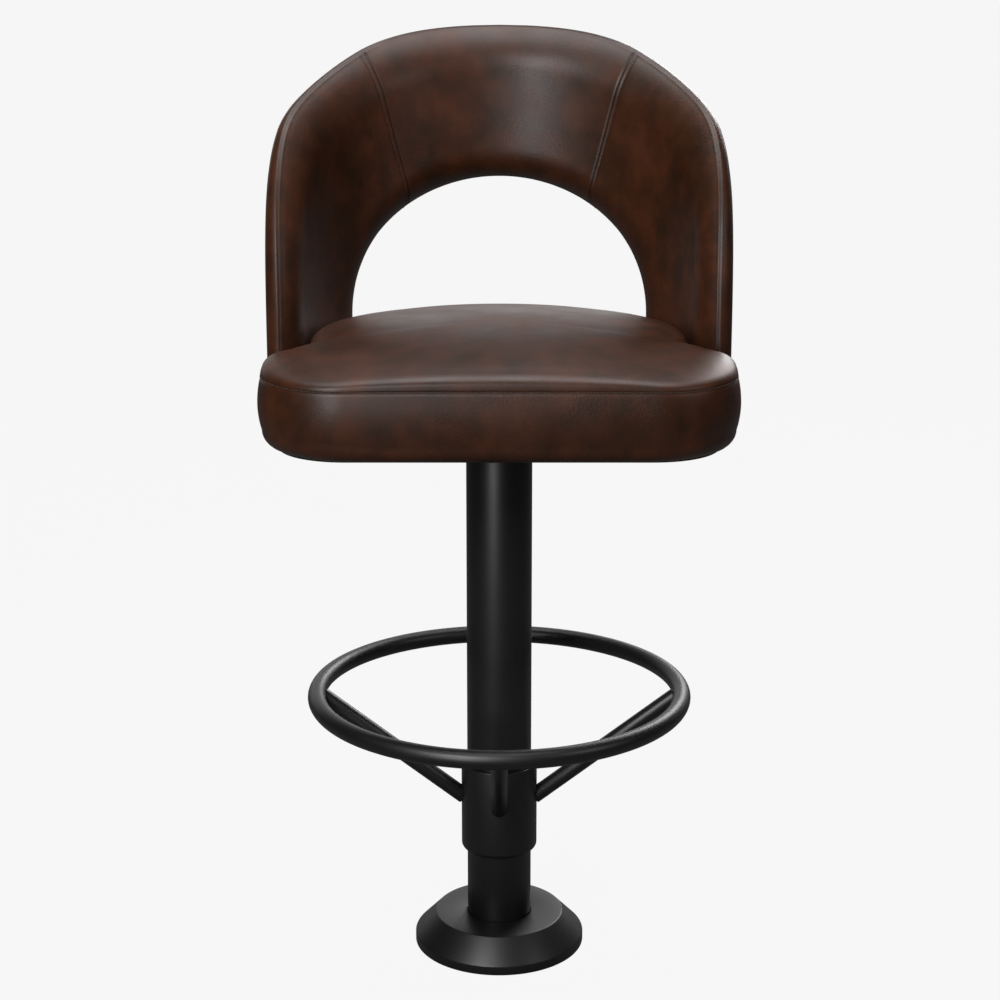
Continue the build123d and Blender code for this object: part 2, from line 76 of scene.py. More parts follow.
def powder_coat():
    # Polyester powder: a soft, even sheen, with an orange peel drawn coarse, at 2.5 mm, so that it shows.
    peel_size = 0.0025
    cloud_size = 0.06
    coat = blank_material("satin_black_powder_coat")
    place = add_node(coat, "ShaderNodeTexCoord").outputs["Object"]
    peel = add_node(coat, "ShaderNodeTexNoise", {"Vector": place, "Scale": 1 / peel_size, "Detail": 2.0})
    cloud = add_node(coat, "ShaderNodeTexNoise", {"Vector": place, "Scale": 1 / cloud_size, "Detail": 3.0})
    rough = add_node(coat, "ShaderNodeMapRange", {
        "Value": cloud.outputs["Fac"], "To Min": 0.38, "To Max": 0.46})
    tone = add_node(coat, "ShaderNodeMix", data_type="RGBA")
    coat.node_tree.links.new(cloud.outputs["Fac"], tone.inputs["Factor"])
    tone.inputs["A"].default_value = srgb("#050505")
    tone.inputs["B"].default_value = srgb("#0b0b0b")
    bump = add_node(coat, "ShaderNodeBump", {
        "Height": peel.outputs["Fac"], "Strength": 0.05, "Distance": 0.0004})
    shader = add_node(coat, "ShaderNodeBsdfPrincipled", {
        "Base Color": tone.outputs["Result"], "Roughness": rough.outputs["Result"],
        "Specular IOR Level": 0.55, "Normal": bump.outputs["Normal"]})
    add_node(coat, "ShaderNodeOutputMaterial", {"Surface": shader.outputs["BSDF"]})
    return coat


def select_only(piece):
    bpy.ops.object.select_all(action="DESELECT")
    piece.select_set(True)
    bpy.context.view_layer.objects.active = piece


def new_piece(name, points, edges, faces):
    mesh = bpy.data.meshes.new(name)
    mesh.from_pydata(points, edges, faces)
    piece = bpy.data.objects.new(name, mesh)
    bpy.context.scene.collection.objects.link(piece)
    select_only(piece)
    return piece


def close_up(piece):
    bpy.ops.object.mode_set(mode="EDIT")
    bpy.ops.mesh.select_all(action="SELECT")
    bpy.ops.mesh.remove_doubles(threshold=1e-6)
    bpy.ops.mesh.normals_make_consistent(inside=False)
    bpy.ops.object.mode_set(mode="OBJECT")


def round_arrises(piece, width, segments=3):
    bevel = piece.modifiers.new("arris", "BEVEL")
    bevel.width = width
    bevel.segments = segments
    bevel.limit_method = "ANGLE"
    bpy.ops.object.modifier_apply(modifier=bevel.name)
    bpy.ops.object.shade_smooth_by_angle(angle=SMOOTH_ANGLE)


def turned(name, outline):
    count = len(outline)
    ring = [(i, (i + 1) % count) for i in range(count)]
    piece = new_piece(name, [(radius, 0, height) for radius, height in outline], ring, [])
    bpy.ops.object.mode_set(mode="EDIT")
    bpy.ops.mesh.select_all(action="SELECT")
    bpy.ops.mesh.spin(steps=LATHE_STEPS, angle=math.tau, center=(0, 0, 0), axis=(0, 0, 1))
    bpy.ops.object.mode_set(mode="OBJECT")
    close_up(piece)
    return piece


def fit(piece, material, body, slot, *nodes):
    piece.data.materials.clear()
    piece.data.materials.append(material)
    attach(piece, body)
    if nodes:
        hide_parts(*nodes)


black_coat = powder_coat()
column_low, column_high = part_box("column_tube")
column_r = column_high.x
COLUMN_WALL = 0.00305
column = turned("column", [
    (column_r, column_low.z), (column_r, column_high.z),
    (column_r - COLUMN_WALL, column_high.z), (column_r - COLUMN_WALL, column_low.z)])
round_arrises(column, ARRIS)
fit(column, black_coat, "pedestal", "black_powder_coat", "column_tube")

# Floor plate and swivel. The plate, the housing and the seat plate are coated like the column,
# the spindle, washers and screws are zinc-plated steel, and the bushes and thrust washer are bearing stock.


def zinc_plate():
    # Clear zinc on turned steel: grey, slightly blue, with fine turning marks.
    mark_spacing = 0.0008
    zinc = blank_material("zinc_plated_steel")
    place = add_node(zinc, "ShaderNodeTexCoord").outputs["Object"]
    marks = add_node(zinc, "ShaderNodeTexNoise", {"Vector": place, "Scale": 1 / mark_spacing, "Detail": 1.0})
    rough = add_node(zinc, "ShaderNodeMapRange", {
        "Value": marks.outputs["Fac"], "To Min": 0.28, "To Max": 0.42})
    shader = add_node(zinc, "ShaderNodeBsdfPrincipled", {
        "Base Color": srgb("#b6b8bb"), "Metallic": 1.0, "Roughness": rough.outputs["Result"]})
    add_node(zinc, "ShaderNodeOutputMaterial", {"Surface": shader.outputs["BSDF"]})
    return zinc


def bearing_stock(name, colour, metallic, roughness):
    # Sintered bronze or turned nylon: matt, with a fine open grain.
    grain_size = 0.0006
    stock = blank_material(name)
    place = add_node(stock, "ShaderNodeTexCoord").outputs["Object"]
    grain = add_node(stock, "ShaderNodeTexNoise", {"Vector": place, "Scale": 1 / grain_size})
    bump = add_node(stock, "ShaderNodeBump", {
        "Height": grain.outputs["Fac"], "Strength": 0.1, "Distance": 0.0002})
    shader = add_node(stock, "ShaderNodeBsdfPrincipled", {
        "Base Color": srgb(colour), "Metallic": metallic, "Roughness": roughness,
        "Normal": bump.outputs["Normal"]})
    add_node(stock, "ShaderNodeOutputMaterial", {"Surface": shader.outputs["BSDF"]})
    return stock


def paint_nodes(material, *names):
    for name in names:
        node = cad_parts[name]
        node.data.materials.clear()
        node.data.materials.append(material)


paint_nodes(black_coat, "floor_plate", "swivel_housing", "seat_plate", "back_bracket_left",
            "back_bracket_right", "clamp_screws")
zinc_finish = zinc_plate()
paint_nodes(zinc_finish, "swivel_spindle", "keeper_washer", "retaining_clip", "plate_washers", "plate_bolts",
            "seat_tee_nuts", "bracket_screws", "back_bolts", "back_tee_nuts")
paint_nodes(bearing_stock("sintered_bronze", "#9c7a48", 1.0, 0.45), "lower_bush", "upper_bush")
paint_nodes(bearing_stock("white_nylon", "#e4e2da", 0.0, 0.5), "thrust_washer")

# Base cover. A steel cone spun from sheet, with an upright rim on the floor and a flat top round the column.
# It is loose, so that it can be lifted to reach the anchors, and coated like the column.
cover_low, cover_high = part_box("base_cover")
COVER_WALL = 0.002
COVER_RIM = 0.011
COVER_TOP_R = 0.0762
COVER_BORE_GAP = 0.0006
COVER_ROUND = 0.0025
COVER_ROUND_STEPS = 6


def rounded_path(corners, bends, steps):
    corners = [Vector(corner) for corner in corners]
    path = [corners[0]]
    for before, corner, after, radius in zip(corners, corners[1:], corners[2:], bends):
        into = (corner - before).normalized()
        away = (after - corner).normalized()
        turn = into.angle(away)
        side = (away - into * into.dot(away)).normalized()
        centre = corner - into * (radius * math.tan(turn / 2)) + side * radius
        for i in range(steps + 1):
            swung = turn * i / steps
            path.append(centre - side * radius * math.cos(swung) + into * radius * math.sin(swung))
    path.append(corners[-1])
    return path


slope = math.atan2(cover_high.z - COVER_RIM, cover_high.x - COVER_TOP_R)
cover_bore = column_r + COVER_BORE_GAP
shoulder = COVER_WALL * math.tan(slope / 2)
elbow = COVER_WALL * math.tan((math.pi / 2 - slope) / 2)
cover_skin = rounded_path(
    [(cover_high.x, cover_low.z), (cover_high.x, COVER_RIM),
     (COVER_TOP_R, cover_high.z), (cover_bore, cover_high.z)],
    (COVER_ROUND, COVER_ROUND), COVER_ROUND_STEPS)
base_cover = turned("trim_cover", [tuple(point) for point in cover_skin] + [
    (cover_bore, cover_high.z - COVER_WALL), (COVER_TOP_R - shoulder, cover_high.z - COVER_WALL),
    (cover_high.x - COVER_WALL, COVER_RIM - elbow), (cover_high.x - COVER_WALL, cover_low.z)])
round_arrises(base_cover, ARRIS)
fit(base_cover, black_coat, "trim_cover", "black_powder_coat", "base_cover")

# Foot ring. A thick sleeve slides on the column and two set screws clamp it at the back.
# Four straight bars are welded between the sleeve and a ring rolled from round bar.
sleeve_low, sleeve_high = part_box("ring_sleeve")
SLEEVE_BORE_GAP = 0.0003
SLEEVE_ROUND = 0.006
SLEEVE_ROUND_STEPS = 8
sleeve_bore = column_r + SLEEVE_BORE_GAP
sleeve_skin = rounded_path(
    [(sleeve_bore, sleeve_low.z), (sleeve_high.x, sleeve_low.z), (sleeve_high.x, sleeve_high.z)],
    (SLEEVE_ROUND,), SLEEVE_ROUND_STEPS)
sleeve = turned("foot_ring_sleeve", [tuple(point) for point in sleeve_skin] + [(sleeve_bore, sleeve_high.z)])
round_arrises(sleeve, ARRIS)
fit(sleeve, black_coat, "foot_rest", "black_powder_coat", "ring_sleeve")

ring_low, ring_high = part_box("foot_ring")
bar_r = (ring_high.z - ring_low.z) / 2
ring_r = ring_high.x - bar_r
ring_z = ring_low.z + bar_r
BAR_SIDES = 32
bar_turns = [math.tau * i / BAR_SIDES for i in range(BAR_SIDES)]
foot_ring = turned("foot_ring_bar", [
    (ring_r + bar_r * math.cos(turn), ring_z + bar_r * math.sin(turn)) for turn in bar_turns])
bpy.ops.object.shade_smooth()
fit(foot_ring, black_coat, "foot_rest", "black_powder_coat", "foot_ring")

SPOKE_R = 0.0095
SPOKE_FOOT_Z = 0.187
SPOKE_SINK = 0.004
SPOKES = {"spoke_right": 0, "spoke_rear": 90, "spoke_left": 180, "spoke_front": 270}
for node_name, degrees in SPOKES.items():
    around = math.radians(degrees)
    outward = Vector((math.cos(around), math.sin(around), 0))
    foot = outward * sleeve_high.x + Vector((0, 0, SPOKE_FOOT_Z))
    tip = outward * ring_r + Vector((0, 0, ring_z))
    along = (tip - foot).normalized()
    start = foot - along * SPOKE_SINK
    end = tip - along * (bar_r - SPOKE_SINK)
    bpy.ops.object.select_all(action="DESELECT")
    bpy.ops.mesh.primitive_cylinder_add(
        vertices=BAR_SIDES, radius=SPOKE_R, depth=(end - start).length, location=(start + end) / 2,
        rotation=along.to_track_quat("Z", "Y").to_euler())
    spoke = bpy.context.active_object
    spoke.name = "brace_" + node_name.split("_")[1]
    bpy.ops.object.transform_apply(location=True, rotation=True, scale=True)
    round_arrises(spoke, ARRIS)
    fit(spoke, black_coat, "foot_rest", "black_powder_coat", node_name)

# Seat cushion. A foam slab on a plywood board, in a leather top panel sewn to a boxing band,
# which is pulled under the board and stapled. The seam is top stitched.
SEAT_FRONT = 0.202
SEAT_HALF_W = 0.263
FRONT_CORNER = 0.099
WING_CORNER = 0.044
WING_BACK = 0.049
SEAT_REAR_R = 0.216
NOTCH_R = 0.006
SEAT_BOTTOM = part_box("seat_boxing")[0].z
WRAP = 0.041
WRAP_TUCK = 0.006
BOTTOM_ROLL = 0.017
CORNER_ROLL = 0.024
BOXING_SWELL = 0.004
SWELL_H = 0.049
SEAM_H = 0.079
ROLL_H = 0.024
ROLL_W = 0.022
CORNER_ROLL_W = 0.032
CROWN_H = 0.119
CROWN_BLEND = 0.013
TIGHT_H = 0.032
TIGHT_W = 0.022
TIGHT_REACH = 0.005
TIGHT_FROM = -30
TIGHT_FADE = 19
TIGHT_SPAN = 35
CROWN_SIDE_R = 2.2
CROWN_FRONT_R = 0.8
CROWN_REAR_R = 1.6
SEAM_DEPTH = 0.0014
SEAM_HALF_W = 0.0009
SEAT_CENTRE_Y = 0.01
SEAT_COUNTS = (44, 40, 6, 14, 2, 12, 64)
CORNER_LEAD = 14
CORNER_TRAIL = 8
BOTTOM_STEPS = 8
BAND_STEPS = 14
TOP_STEPS = 15
TOP_TURN = math.radians(84)
REACH_STEPS = 5
CROWN_RINGS = 26


def hide_leather():
    # Antiqued cowhide: a dark pigment rubbed over red brown, waxed, with fine creases in patches.
    mottle_size = 0.09
    blotch_size = 0.03
    crease_size = 0.0055
    grain_size = 0.0022
    patch_size = 0.11
    hide = blank_material("antiqued_brown_leather")
    place = add_node(hide, "ShaderNodeTexCoord").outputs["Object"]
    sway = add_node(hide, "ShaderNodeTexNoise", {
        "Vector": place, "Scale": 1 / (3 * crease_size), "Detail": 3.0})
    pull = add_node(hide, "ShaderNodeVectorMath", {0: sway.outputs["Color"], "Scale": 1.2 * crease_size},
                    operation="SCALE")
    bent = add_node(hide, "ShaderNodeVectorMath", {0: place, 1: pull.outputs["Vector"]})
    mottle = add_node(hide, "ShaderNodeTexNoise",
                      {"Vector": place, "Scale": 1 / mottle_size, "Detail": 4.0, "Roughness": 0.6})
    blotch = add_node(hide, "ShaderNodeTexNoise",
                      {"Vector": place, "Scale": 1 / blotch_size, "Detail": 3.0, "Roughness": 0.55})
    mixed = add_node(hide, "ShaderNodeMath", {
        0: mottle.outputs["Fac"], 1: blotch.outputs["Fac"]}, operation="ADD")
    tone = add_node(hide, "ShaderNodeValToRGB", {
        "Fac": add_node(hide, "ShaderNodeMath", {0: mixed.outputs["Value"], 1: 0.5},
                        operation="MULTIPLY").outputs["Value"]})
    ramp = tone.color_ramp
    ramp.elements[0].position = 0.36
    ramp.elements[0].color = srgb("#221104")
    ramp.elements[1].position = 0.66
    ramp.elements[1].color = srgb("#3f1d0a")
    middle = ramp.elements.new(0.5)
    middle.color = srgb("#301606")
    # Painted shade: the seam grooves and welts are mixed towards near black, as far as each groove is pressed
    # in.
    sewn = add_node(hide, "ShaderNodeAttribute", attribute_name="seam")
    painted_seam_shade = add_node(hide, "ShaderNodeMix", data_type="RGBA")
    hide.node_tree.links.new(sewn.outputs["Fac"], painted_seam_shade.inputs["Factor"])
    hide.node_tree.links.new(tone.outputs["Color"], painted_seam_shade.inputs["A"])
    painted_seam_shade.inputs["B"].default_value = srgb("#070301")
    crease = add_node(hide, "ShaderNodeTexVoronoi", {
        "Vector": bent.outputs["Vector"], "Scale": 1 / crease_size}, feature="DISTANCE_TO_EDGE")
    furrow = add_node(hide, "ShaderNodeMapRange", {
        "Value": crease.outputs["Distance"], "From Min": 0.0, "From Max": 0.16, "To Min": 0.0, "To Max": 1.0})
    patch = add_node(hide, "ShaderNodeTexNoise", {"Vector": place, "Scale": 1 / patch_size, "Detail": 2.0})
    where = add_node(hide, "ShaderNodeMapRange", {
        "Value": patch.outputs["Fac"], "From Min": 0.42, "From Max": 0.8, "To Min": 0.0, "To Max": 0.14})
    grain = add_node(hide, "ShaderNodeTexVoronoi", {
        "Vector": bent.outputs["Vector"], "Scale": 1 / grain_size})
    fine = add_node(hide, "ShaderNodeBump",
                    {"Height": grain.outputs["Distance"], "Strength": 0.04, "Distance": 0.0006})
    creased = add_node(hide, "ShaderNodeBump", {
        "Height": furrow.outputs["Result"], "Strength": where.outputs["Result"], "Distance": 0.0008,
        "Normal": fine.outputs["Normal"]})
    rough = add_node(hide, "ShaderNodeMapRange", {
        "Value": mottle.outputs["Fac"], "From Min": 0.3, "From Max": 0.7, "To Min": 0.36, "To Max": 0.5})
    shader = add_node(hide, "ShaderNodeBsdfPrincipled", {
        "Base Color": painted_seam_shade.outputs["Result"], "Roughness": rough.outputs["Result"],
        "Specular IOR Level": 0.33, "Normal": creased.outputs["Normal"]})
    add_node(hide, "ShaderNodeOutputMaterial", {"Surface": shader.outputs["BSDF"]})
    return hide


def arc_points(centre, radius, start, sweep, count):
    turns = [math.radians(start + sweep * i / count) for i in range(count)]
    return [(centre[0] + radius * math.cos(t), centre[1] + radius * math.sin(t)) for t in turns]


def line_points(start, end, count):
    return [(start[0] + (end[0] - start[0]) * i / count, start[1] + (end[1] - start[1]) * i / count)
            for i in range(count)]


def seat_ring(inset):
    notch_y = NOTCH_R - WING_BACK
    notch_x = math.sqrt((SEAT_REAR_R + NOTCH_R) ** 2 - notch_y ** 2)
    notch_turn = math.degrees(math.atan2(notch_y, notch_x))
    corner_x = SEAT_HALF_W - FRONT_CORNER
    corner_y = FRONT_CORNER - SEAT_FRONT
    wing_x = SEAT_HALF_W - WING_CORNER
    wing_y = -WING_BACK - WING_CORNER
    front, corner, side, wing, flat, notch, rear = SEAT_COUNTS
    half = line_points((0, inset - SEAT_FRONT), (corner_x, inset - SEAT_FRONT), front)
    half += arc_points((corner_x, corner_y), FRONT_CORNER - inset, -90, 90, corner)
    half += line_points((SEAT_HALF_W - inset, corner_y), (SEAT_HALF_W - inset, wing_y), side)
    half += arc_points((wing_x, wing_y), WING_CORNER - inset, 0, 90, wing)
    half += line_points((wing_x, -WING_BACK - inset), (notch_x, -WING_BACK - inset), flat)
    half += arc_points((notch_x, notch_y), NOTCH_R + inset, -90, notch_turn - 90, notch)
    half += arc_points((0, 0), SEAT_REAR_R - inset, notch_turn, 90 - notch_turn, rear)
    half.append((0, SEAT_REAR_R - inset))
    return half + [(-x, y) for x, y in reversed(half[1:-1])]


def seat_levels(roll, top_h, top_w, top_reach):
    levels = [(WRAP, WRAP_TUCK), (WRAP, 0.0), (0.5 * (WRAP + BOXING_SWELL + roll), 0.0)]
    for i in range(BOTTOM_STEPS + 1):
        turn = math.pi / 2 * i / BOTTOM_STEPS
        levels.append((BOXING_SWELL + roll * (1 - math.sin(turn)), roll * (1 - math.cos(turn))))
    for i in range(1, BAND_STEPS):
        height = roll + (SEAM_H - SEAM_HALF_W - roll) * i / BAND_STEPS
        span = SWELL_H - roll if height < SWELL_H else SEAM_H - SWELL_H
        levels.append((BOXING_SWELL * ((height - SWELL_H) / span) ** 2, height))
    levels += [(BOXING_SWELL, SEAM_H + step * SEAM_HALF_W) for step in (-1, 0, 1)]
    seam_level = len(levels) - 2
    for i in range(1, TOP_STEPS + 1):
        turn = TOP_TURN * i / TOP_STEPS
        levels.append((BOXING_SWELL - top_reach * min(1, i / REACH_STEPS) + top_w * (1 - math.cos(turn)),
                       SEAM_H + top_h * math.sin(turn)))
    return levels, seam_level


def soft_least(a, b, blend):
    gap = max(blend - abs(a - b), 0) / blend
    return min(a, b) - gap * gap * blend / 4


def seat_point(x, y, height):
    length_r = CROWN_FRONT_R if y < SEAT_CENTRE_Y else CROWN_REAR_R
    crown = CROWN_H - x * x / (2 * CROWN_SIDE_R) - (y - SEAT_CENTRE_Y) ** 2 / (2 * length_r)
    return (x, y, SEAT_BOTTOM + soft_least(height, crown, CROWN_BLEND))


def eased(share):
    share = min(max(share, 0), 1)
    return share * share * (3 - 2 * share)


def seat_weights():
    front, corner, side = SEAT_COUNTS[:3]
    corner_first, corner_last = front - CORNER_LEAD, front + corner + side + CORNER_TRAIL
    corners = []
    for i in range(sum(SEAT_COUNTS) + 1):
        share = min(max((i - corner_first) / (corner_last - corner_first), 0), 1)
        corners.append(math.sin(math.pi * share) ** 2)
    tights = []
    for x, y in seat_ring(ROLL_W):
        turn = math.degrees(math.atan2(y - SEAT_CENTRE_Y, abs(x)))
        tights.append(eased((turn - TIGHT_FROM) / TIGHT_SPAN) * (1 - eased((turn - TIGHT_FADE) / TIGHT_SPAN)))
    return corners + list(reversed(corners[1:-1])), tights


def stitched_rows(rows, closed_ends):
    count = len(rows[0])
    points = [point for row in rows for point in row]
    faces = []
    for r in range(len(rows) - 1):
        for i in range(count):
            j = (i + 1) % count
            faces.append((r * count + i, r * count + j, (r + 1) * count + j, (r + 1) * count + i))
    if closed_ends:
        faces.append(tuple(reversed(range(count))))
        faces.append(tuple(range((len(rows) - 1) * count, len(rows) * count)))
    return points, faces


def seat_mesh():
    plain, seam_level = seat_levels(BOTTOM_ROLL, ROLL_H, ROLL_W, 0)
    corner = seat_levels(CORNER_ROLL, ROLL_H, CORNER_ROLL_W, 0)[0]
    tight = seat_levels(BOTTOM_ROLL, TIGHT_H, TIGHT_W, TIGHT_REACH)[0]
    corner_weights, tight_weights = seat_weights()
    rows = []
    for forms in zip(plain, corner, tight):
        rings = [[Vector((x, y, height)) for x, y in seat_ring(inset)] for inset, height in forms]
        rows.append([base + (low - base) * w + (high - base) * t
                     for base, low, high, w, t in zip(*rings, corner_weights, tight_weights)])
    edge = rows[-1]
    for i in range(1, CROWN_RINGS):
        share = 1 - i / CROWN_RINGS
        rows.append([Vector((point.x * share, SEAT_CENTRE_Y + (point.y - SEAT_CENTRE_Y) * share,
                             point.z + CROWN_H * (1 - share))) for point in edge])
    rows = [[seat_point(*point) for point in row] for row in rows]
    points, faces = stitched_rows(rows, False)
    ring_count = len(edge)
    faces.append(tuple(reversed(range(ring_count))))
    last = (len(rows) - 1) * ring_count
    middle = len(points)
    points.append(seat_point(0, SEAT_CENTRE_Y, 2 * CROWN_H))
    for i in range(ring_count):
        faces.append((last + i, last + (i + 1) % ring_count, middle))
    return points, faces, ring_count, seam_level


def face_outwards(piece):
    shape = bmesh.new()
    shape.from_mesh(piece.data)
    bmesh.ops.recalc_face_normals(shape, faces=shape.faces)
    shape.to_mesh(piece.data)
    shape.free()


# The padding swells by cloth under pressure. Only its rise along the surface's normals is kept, and smoothed.
SWELL_FRAMES = 12
SWELL_PRESSURE = 4
SWELL_QUALITY = 3
SWELL_SMOOTHING = 240


def swell(piece, held, reach):
    group = piece.vertex_groups.new(name="held")
    group.add(held, 1.0, "REPLACE")
    cloth = piece.modifiers.new("swell", "CLOTH")
    cloth.settings.vertex_group_mass = group.name
    cloth.settings.use_pressure = True
    cloth.settings.uniform_pressure_force = SWELL_PRESSURE
    cloth.settings.effector_weights.gravity = 0
    cloth.collision_settings.use_collision = False
    cloth.settings.quality = SWELL_QUALITY
    cloth.point_cache.frame_end = SWELL_FRAMES
    for step in range(1, SWELL_FRAMES + 1):
        bpy.context.scene.frame_set(step)
    swollen = piece.evaluated_get(bpy.context.evaluated_depsgraph_get()).data
    normals = [vertex.normal.copy() for vertex in piece.data.vertices]
    rises = [min(max((after.co - before.co).dot(normal), 0), reach)
             for before, after, normal in zip(piece.data.vertices, swollen.vertices, normals)]
    piece.modifiers.remove(cloth)
    bpy.context.scene.frame_set(1)
    still = set(held)
    for _ in range(SWELL_SMOOTHING):
        sums = rises[:]
        counts = [1] * len(rises)
        for edge in piece.data.edges:
            a, b = edge.vertices
            sums[a] += rises[b]
            sums[b] += rises[a]
            counts[a] += 1
            counts[b] += 1
        rises = [0.0 if i in still else total / count for i, (total, count) in enumerate(zip(sums, counts))]
    for vertex, normal, rise in zip(piece.data.vertices, normals, rises):
        vertex.co += normal * rise
    piece.vertex_groups.clear()


def press(piece, depths):
    # The seam attribute carries painted shade: it holds each groove's depth, and the leather turns near black
    # by it.
    marks = piece.data.attributes.new("seam", "FLOAT", "POINT")
    normals = [vertex.normal.copy() for vertex in piece.data.vertices]
    for index, depth in depths.items():
        piece.data.vertices[index].co -= normals[index] * depth
        marks.data[index].value = max(depth, 0) / SEAM_DEPTH


# Each stitch is a short rod with tapered ends: places along it, and its girth there.
STITCH_FORM = ((-0.5, 0.35), (-0.35, 1.0), (0.35, 1.0), (0.5, 0.35))
STITCH_PITCH = 0.0032
STITCH_SHARE = 0.66
SEAT_THREAD_R = 0.0007
THREAD_SIDES = 6


def stitches(name, path, thread_r):
    points = []
    faces = []
    walked = 0.0
    places = []
    for a, b in zip(path, path[1:]):
        length = (b - a).length
        while walked < length:
            places.append((a + (b - a) * (walked / length), (b - a).normalized()))
            walked += STITCH_PITCH
        walked -= length
    for place, along in places:
        across = along.orthogonal().normalized()
        up = along.cross(across)
        base = len(points)
        for offset, girth in STITCH_FORM:
            for side in range(THREAD_SIDES):
                turn = math.tau * side / THREAD_SIDES
                reach = (across * math.cos(turn) + up * math.sin(turn)) * thread_r * girth
                points.append(place + along * (offset * STITCH_SHARE * STITCH_PITCH) + reach)
        for ring in range(len(STITCH_FORM) - 1):
            for side in range(THREAD_SIDES):
                a = base + ring * THREAD_SIDES + side
                b = base + ring * THREAD_SIDES + (side + 1) % THREAD_SIDES
                faces.append((a, b, b + THREAD_SIDES, a + THREAD_SIDES))
        last = len(points) - THREAD_SIDES
        faces.append(tuple(base + side for side in reversed(range(THREAD_SIDES))))
        faces.append(tuple(last + side for side in range(THREAD_SIDES)))
    thread = new_piece(name, points, [], faces)
    face_outwards(thread)
    bpy.ops.object.shade_smooth()
    fit(thread, thread_finish, "seat", "brown_leather")


def waxed_thread():
    # Waxed polyester thread, a dull brown a little lighter than the seam, with a twist too fine to show.
    twist_size = 0.0006
    thread = blank_material("waxed_thread")
    place = add_node(thread, "ShaderNodeTexCoord").outputs["Object"]
    twist = add_node(thread, "ShaderNodeTexNoise", {"Vector": place, "Scale": 1 / twist_size})
    bump = add_node(thread, "ShaderNodeBump", {
        "Height": twist.outputs["Fac"], "Strength": 0.3, "Distance": 0.0002})
    shader = add_node(thread, "ShaderNodeBsdfPrincipled", {
        "Base Color": srgb("#3a281e"), "Roughness": 0.55, "Normal": bump.outputs["Normal"]})
    add_node(thread, "ShaderNodeOutputMaterial", {"Surface": shader.outputs["BSDF"]})
    return thread


HELD_ROWS = 5
SEAT_RISE = 0.0015
brown_hide = hide_leather()
thread_finish = waxed_thread()
seat_points, seat_faces, seat_count, seat_seam = seat_mesh()
seat_cushion = new_piece("seat_cushion", seat_points, [], seat_faces)
face_outwards(seat_cushion)
seam_row = list(range(seat_seam * seat_count, (seat_seam + 1) * seat_count))
swell(seat_cushion, list(range(HELD_ROWS * seat_count)) + seam_row, SEAT_RISE)
stitch_path = [seat_cushion.data.vertices[i].co.copy() for i in seam_row]
press(seat_cushion, {index: SEAM_DEPTH for index in seam_row})
bpy.ops.object.shade_smooth()
fit(seat_cushion, brown_hide, "seat", "brown_leather", "seat_foam", "seat_top_panel", "seat_boxing")
stitches("seat_stitches", stitch_path + stitch_path[:1], SEAT_THREAD_R)

# Seat underside. A board of raw birch plywood carries the foam, and a black non-woven dust cloth covers it.
# The cloth is cut out round the seat plate and held by a line of wire staples near its edge.


def raw_plywood():
    # Rotary-cut birch: pale, with long soft grain.
    grain_width = 0.006
    plies = blank_material("raw_birch_plywood")
    place = add_node(plies, "ShaderNodeTexCoord").outputs["Object"]
    stretch = add_node(plies, "ShaderNodeMapping", {"Vector": place, "Scale": (0.12, 1.0, 1.0)})
    grain = add_node(plies, "ShaderNodeTexNoise",
                     {"Vector": stretch.outputs["Vector"], "Scale": 1 / grain_width, "Detail": 5.0})
    tone = add_node(plies, "ShaderNodeValToRGB", {"Fac": grain.outputs["Fac"]})
    tone.color_ramp.elements[0].color = srgb("#a9834f")
    tone.color_ramp.elements[1].color = srgb("#d6b680")
    shader = add_node(plies, "ShaderNodeBsdfPrincipled", {
        "Base Color": tone.outputs["Color"], "Roughness": 0.65})
    add_node(plies, "ShaderNodeOutputMaterial", {"Surface": shader.outputs["BSDF"]})
    return plies


def dust_cloth():
    # Non-woven polypropylene: black, matt, with a dotted bond pattern 2 mm apart.
    bond_spacing = 0.002
    cloth = blank_material("black_nonwoven_cloth")
    place = add_node(cloth, "ShaderNodeTexCoord").outputs["Object"]
    bonds = add_node(cloth, "ShaderNodeTexVoronoi", {
        "Vector": place, "Scale": 1 / bond_spacing, "Randomness": 0.2})
    bump = add_node(cloth, "ShaderNodeBump",
                    {"Height": bonds.outputs["Distance"], "Strength": 0.4, "Distance": 0.0004})
    shader = add_node(cloth, "ShaderNodeBsdfPrincipled", {
        "Base Color": srgb("#0d0d0e"), "Roughness": 0.85, "Normal": bump.outputs["Normal"]})
    add_node(cloth, "ShaderNodeOutputMaterial", {"Surface": shader.outputs["BSDF"]})
    return cloth


paint_nodes(raw_plywood(), "seat_board", "back_shell")
dust_sheet = new_piece("dust_cloth", [], [], [])
dust_sheet.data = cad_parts["dust_cover"].data.copy()
close_up(dust_sheet)
dust_low, dust_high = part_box("dust_cover")
fit(dust_sheet, dust_cloth(), "seat", "dust_cloth", "dust_cover")
STAPLE_W = 0.010
STAPLE_WIRE = 0.0012
STAPLE_INSET = 0.030
STAPLE_EVERY = 11
staple_line = [Vector((x, y, dust_low.z - STAPLE_WIRE / 4)) for x, y in seat_ring(STAPLE_INSET)]
bpy.ops.object.select_all(action="DESELECT")
staple_bars = []
for first in range(0, len(staple_line), STAPLE_EVERY):
    heading = staple_line[(first + 1) % len(staple_line)] - staple_line[first - 1]
    bpy.ops.mesh.primitive_cube_add(size=1, location=staple_line[first],
                                    rotation=(0, 0, math.atan2(heading.y, heading.x)))
    bar = bpy.context.active_object
    bar.scale = (STAPLE_W, STAPLE_WIRE, STAPLE_WIRE)
    staple_bars.append(bar)
for bar in staple_bars:
    bar.select_set(True)
bpy.ops.object.transform_apply(location=True, rotation=True, scale=True)
bpy.ops.object.join()
staples = bpy.context.active_object
staples.name = "cloth_staples"
round_arrises(staples, STAPLE_WIRE / 4, 2)
fit(staples, zinc_finish, "seat", "plain_steel")

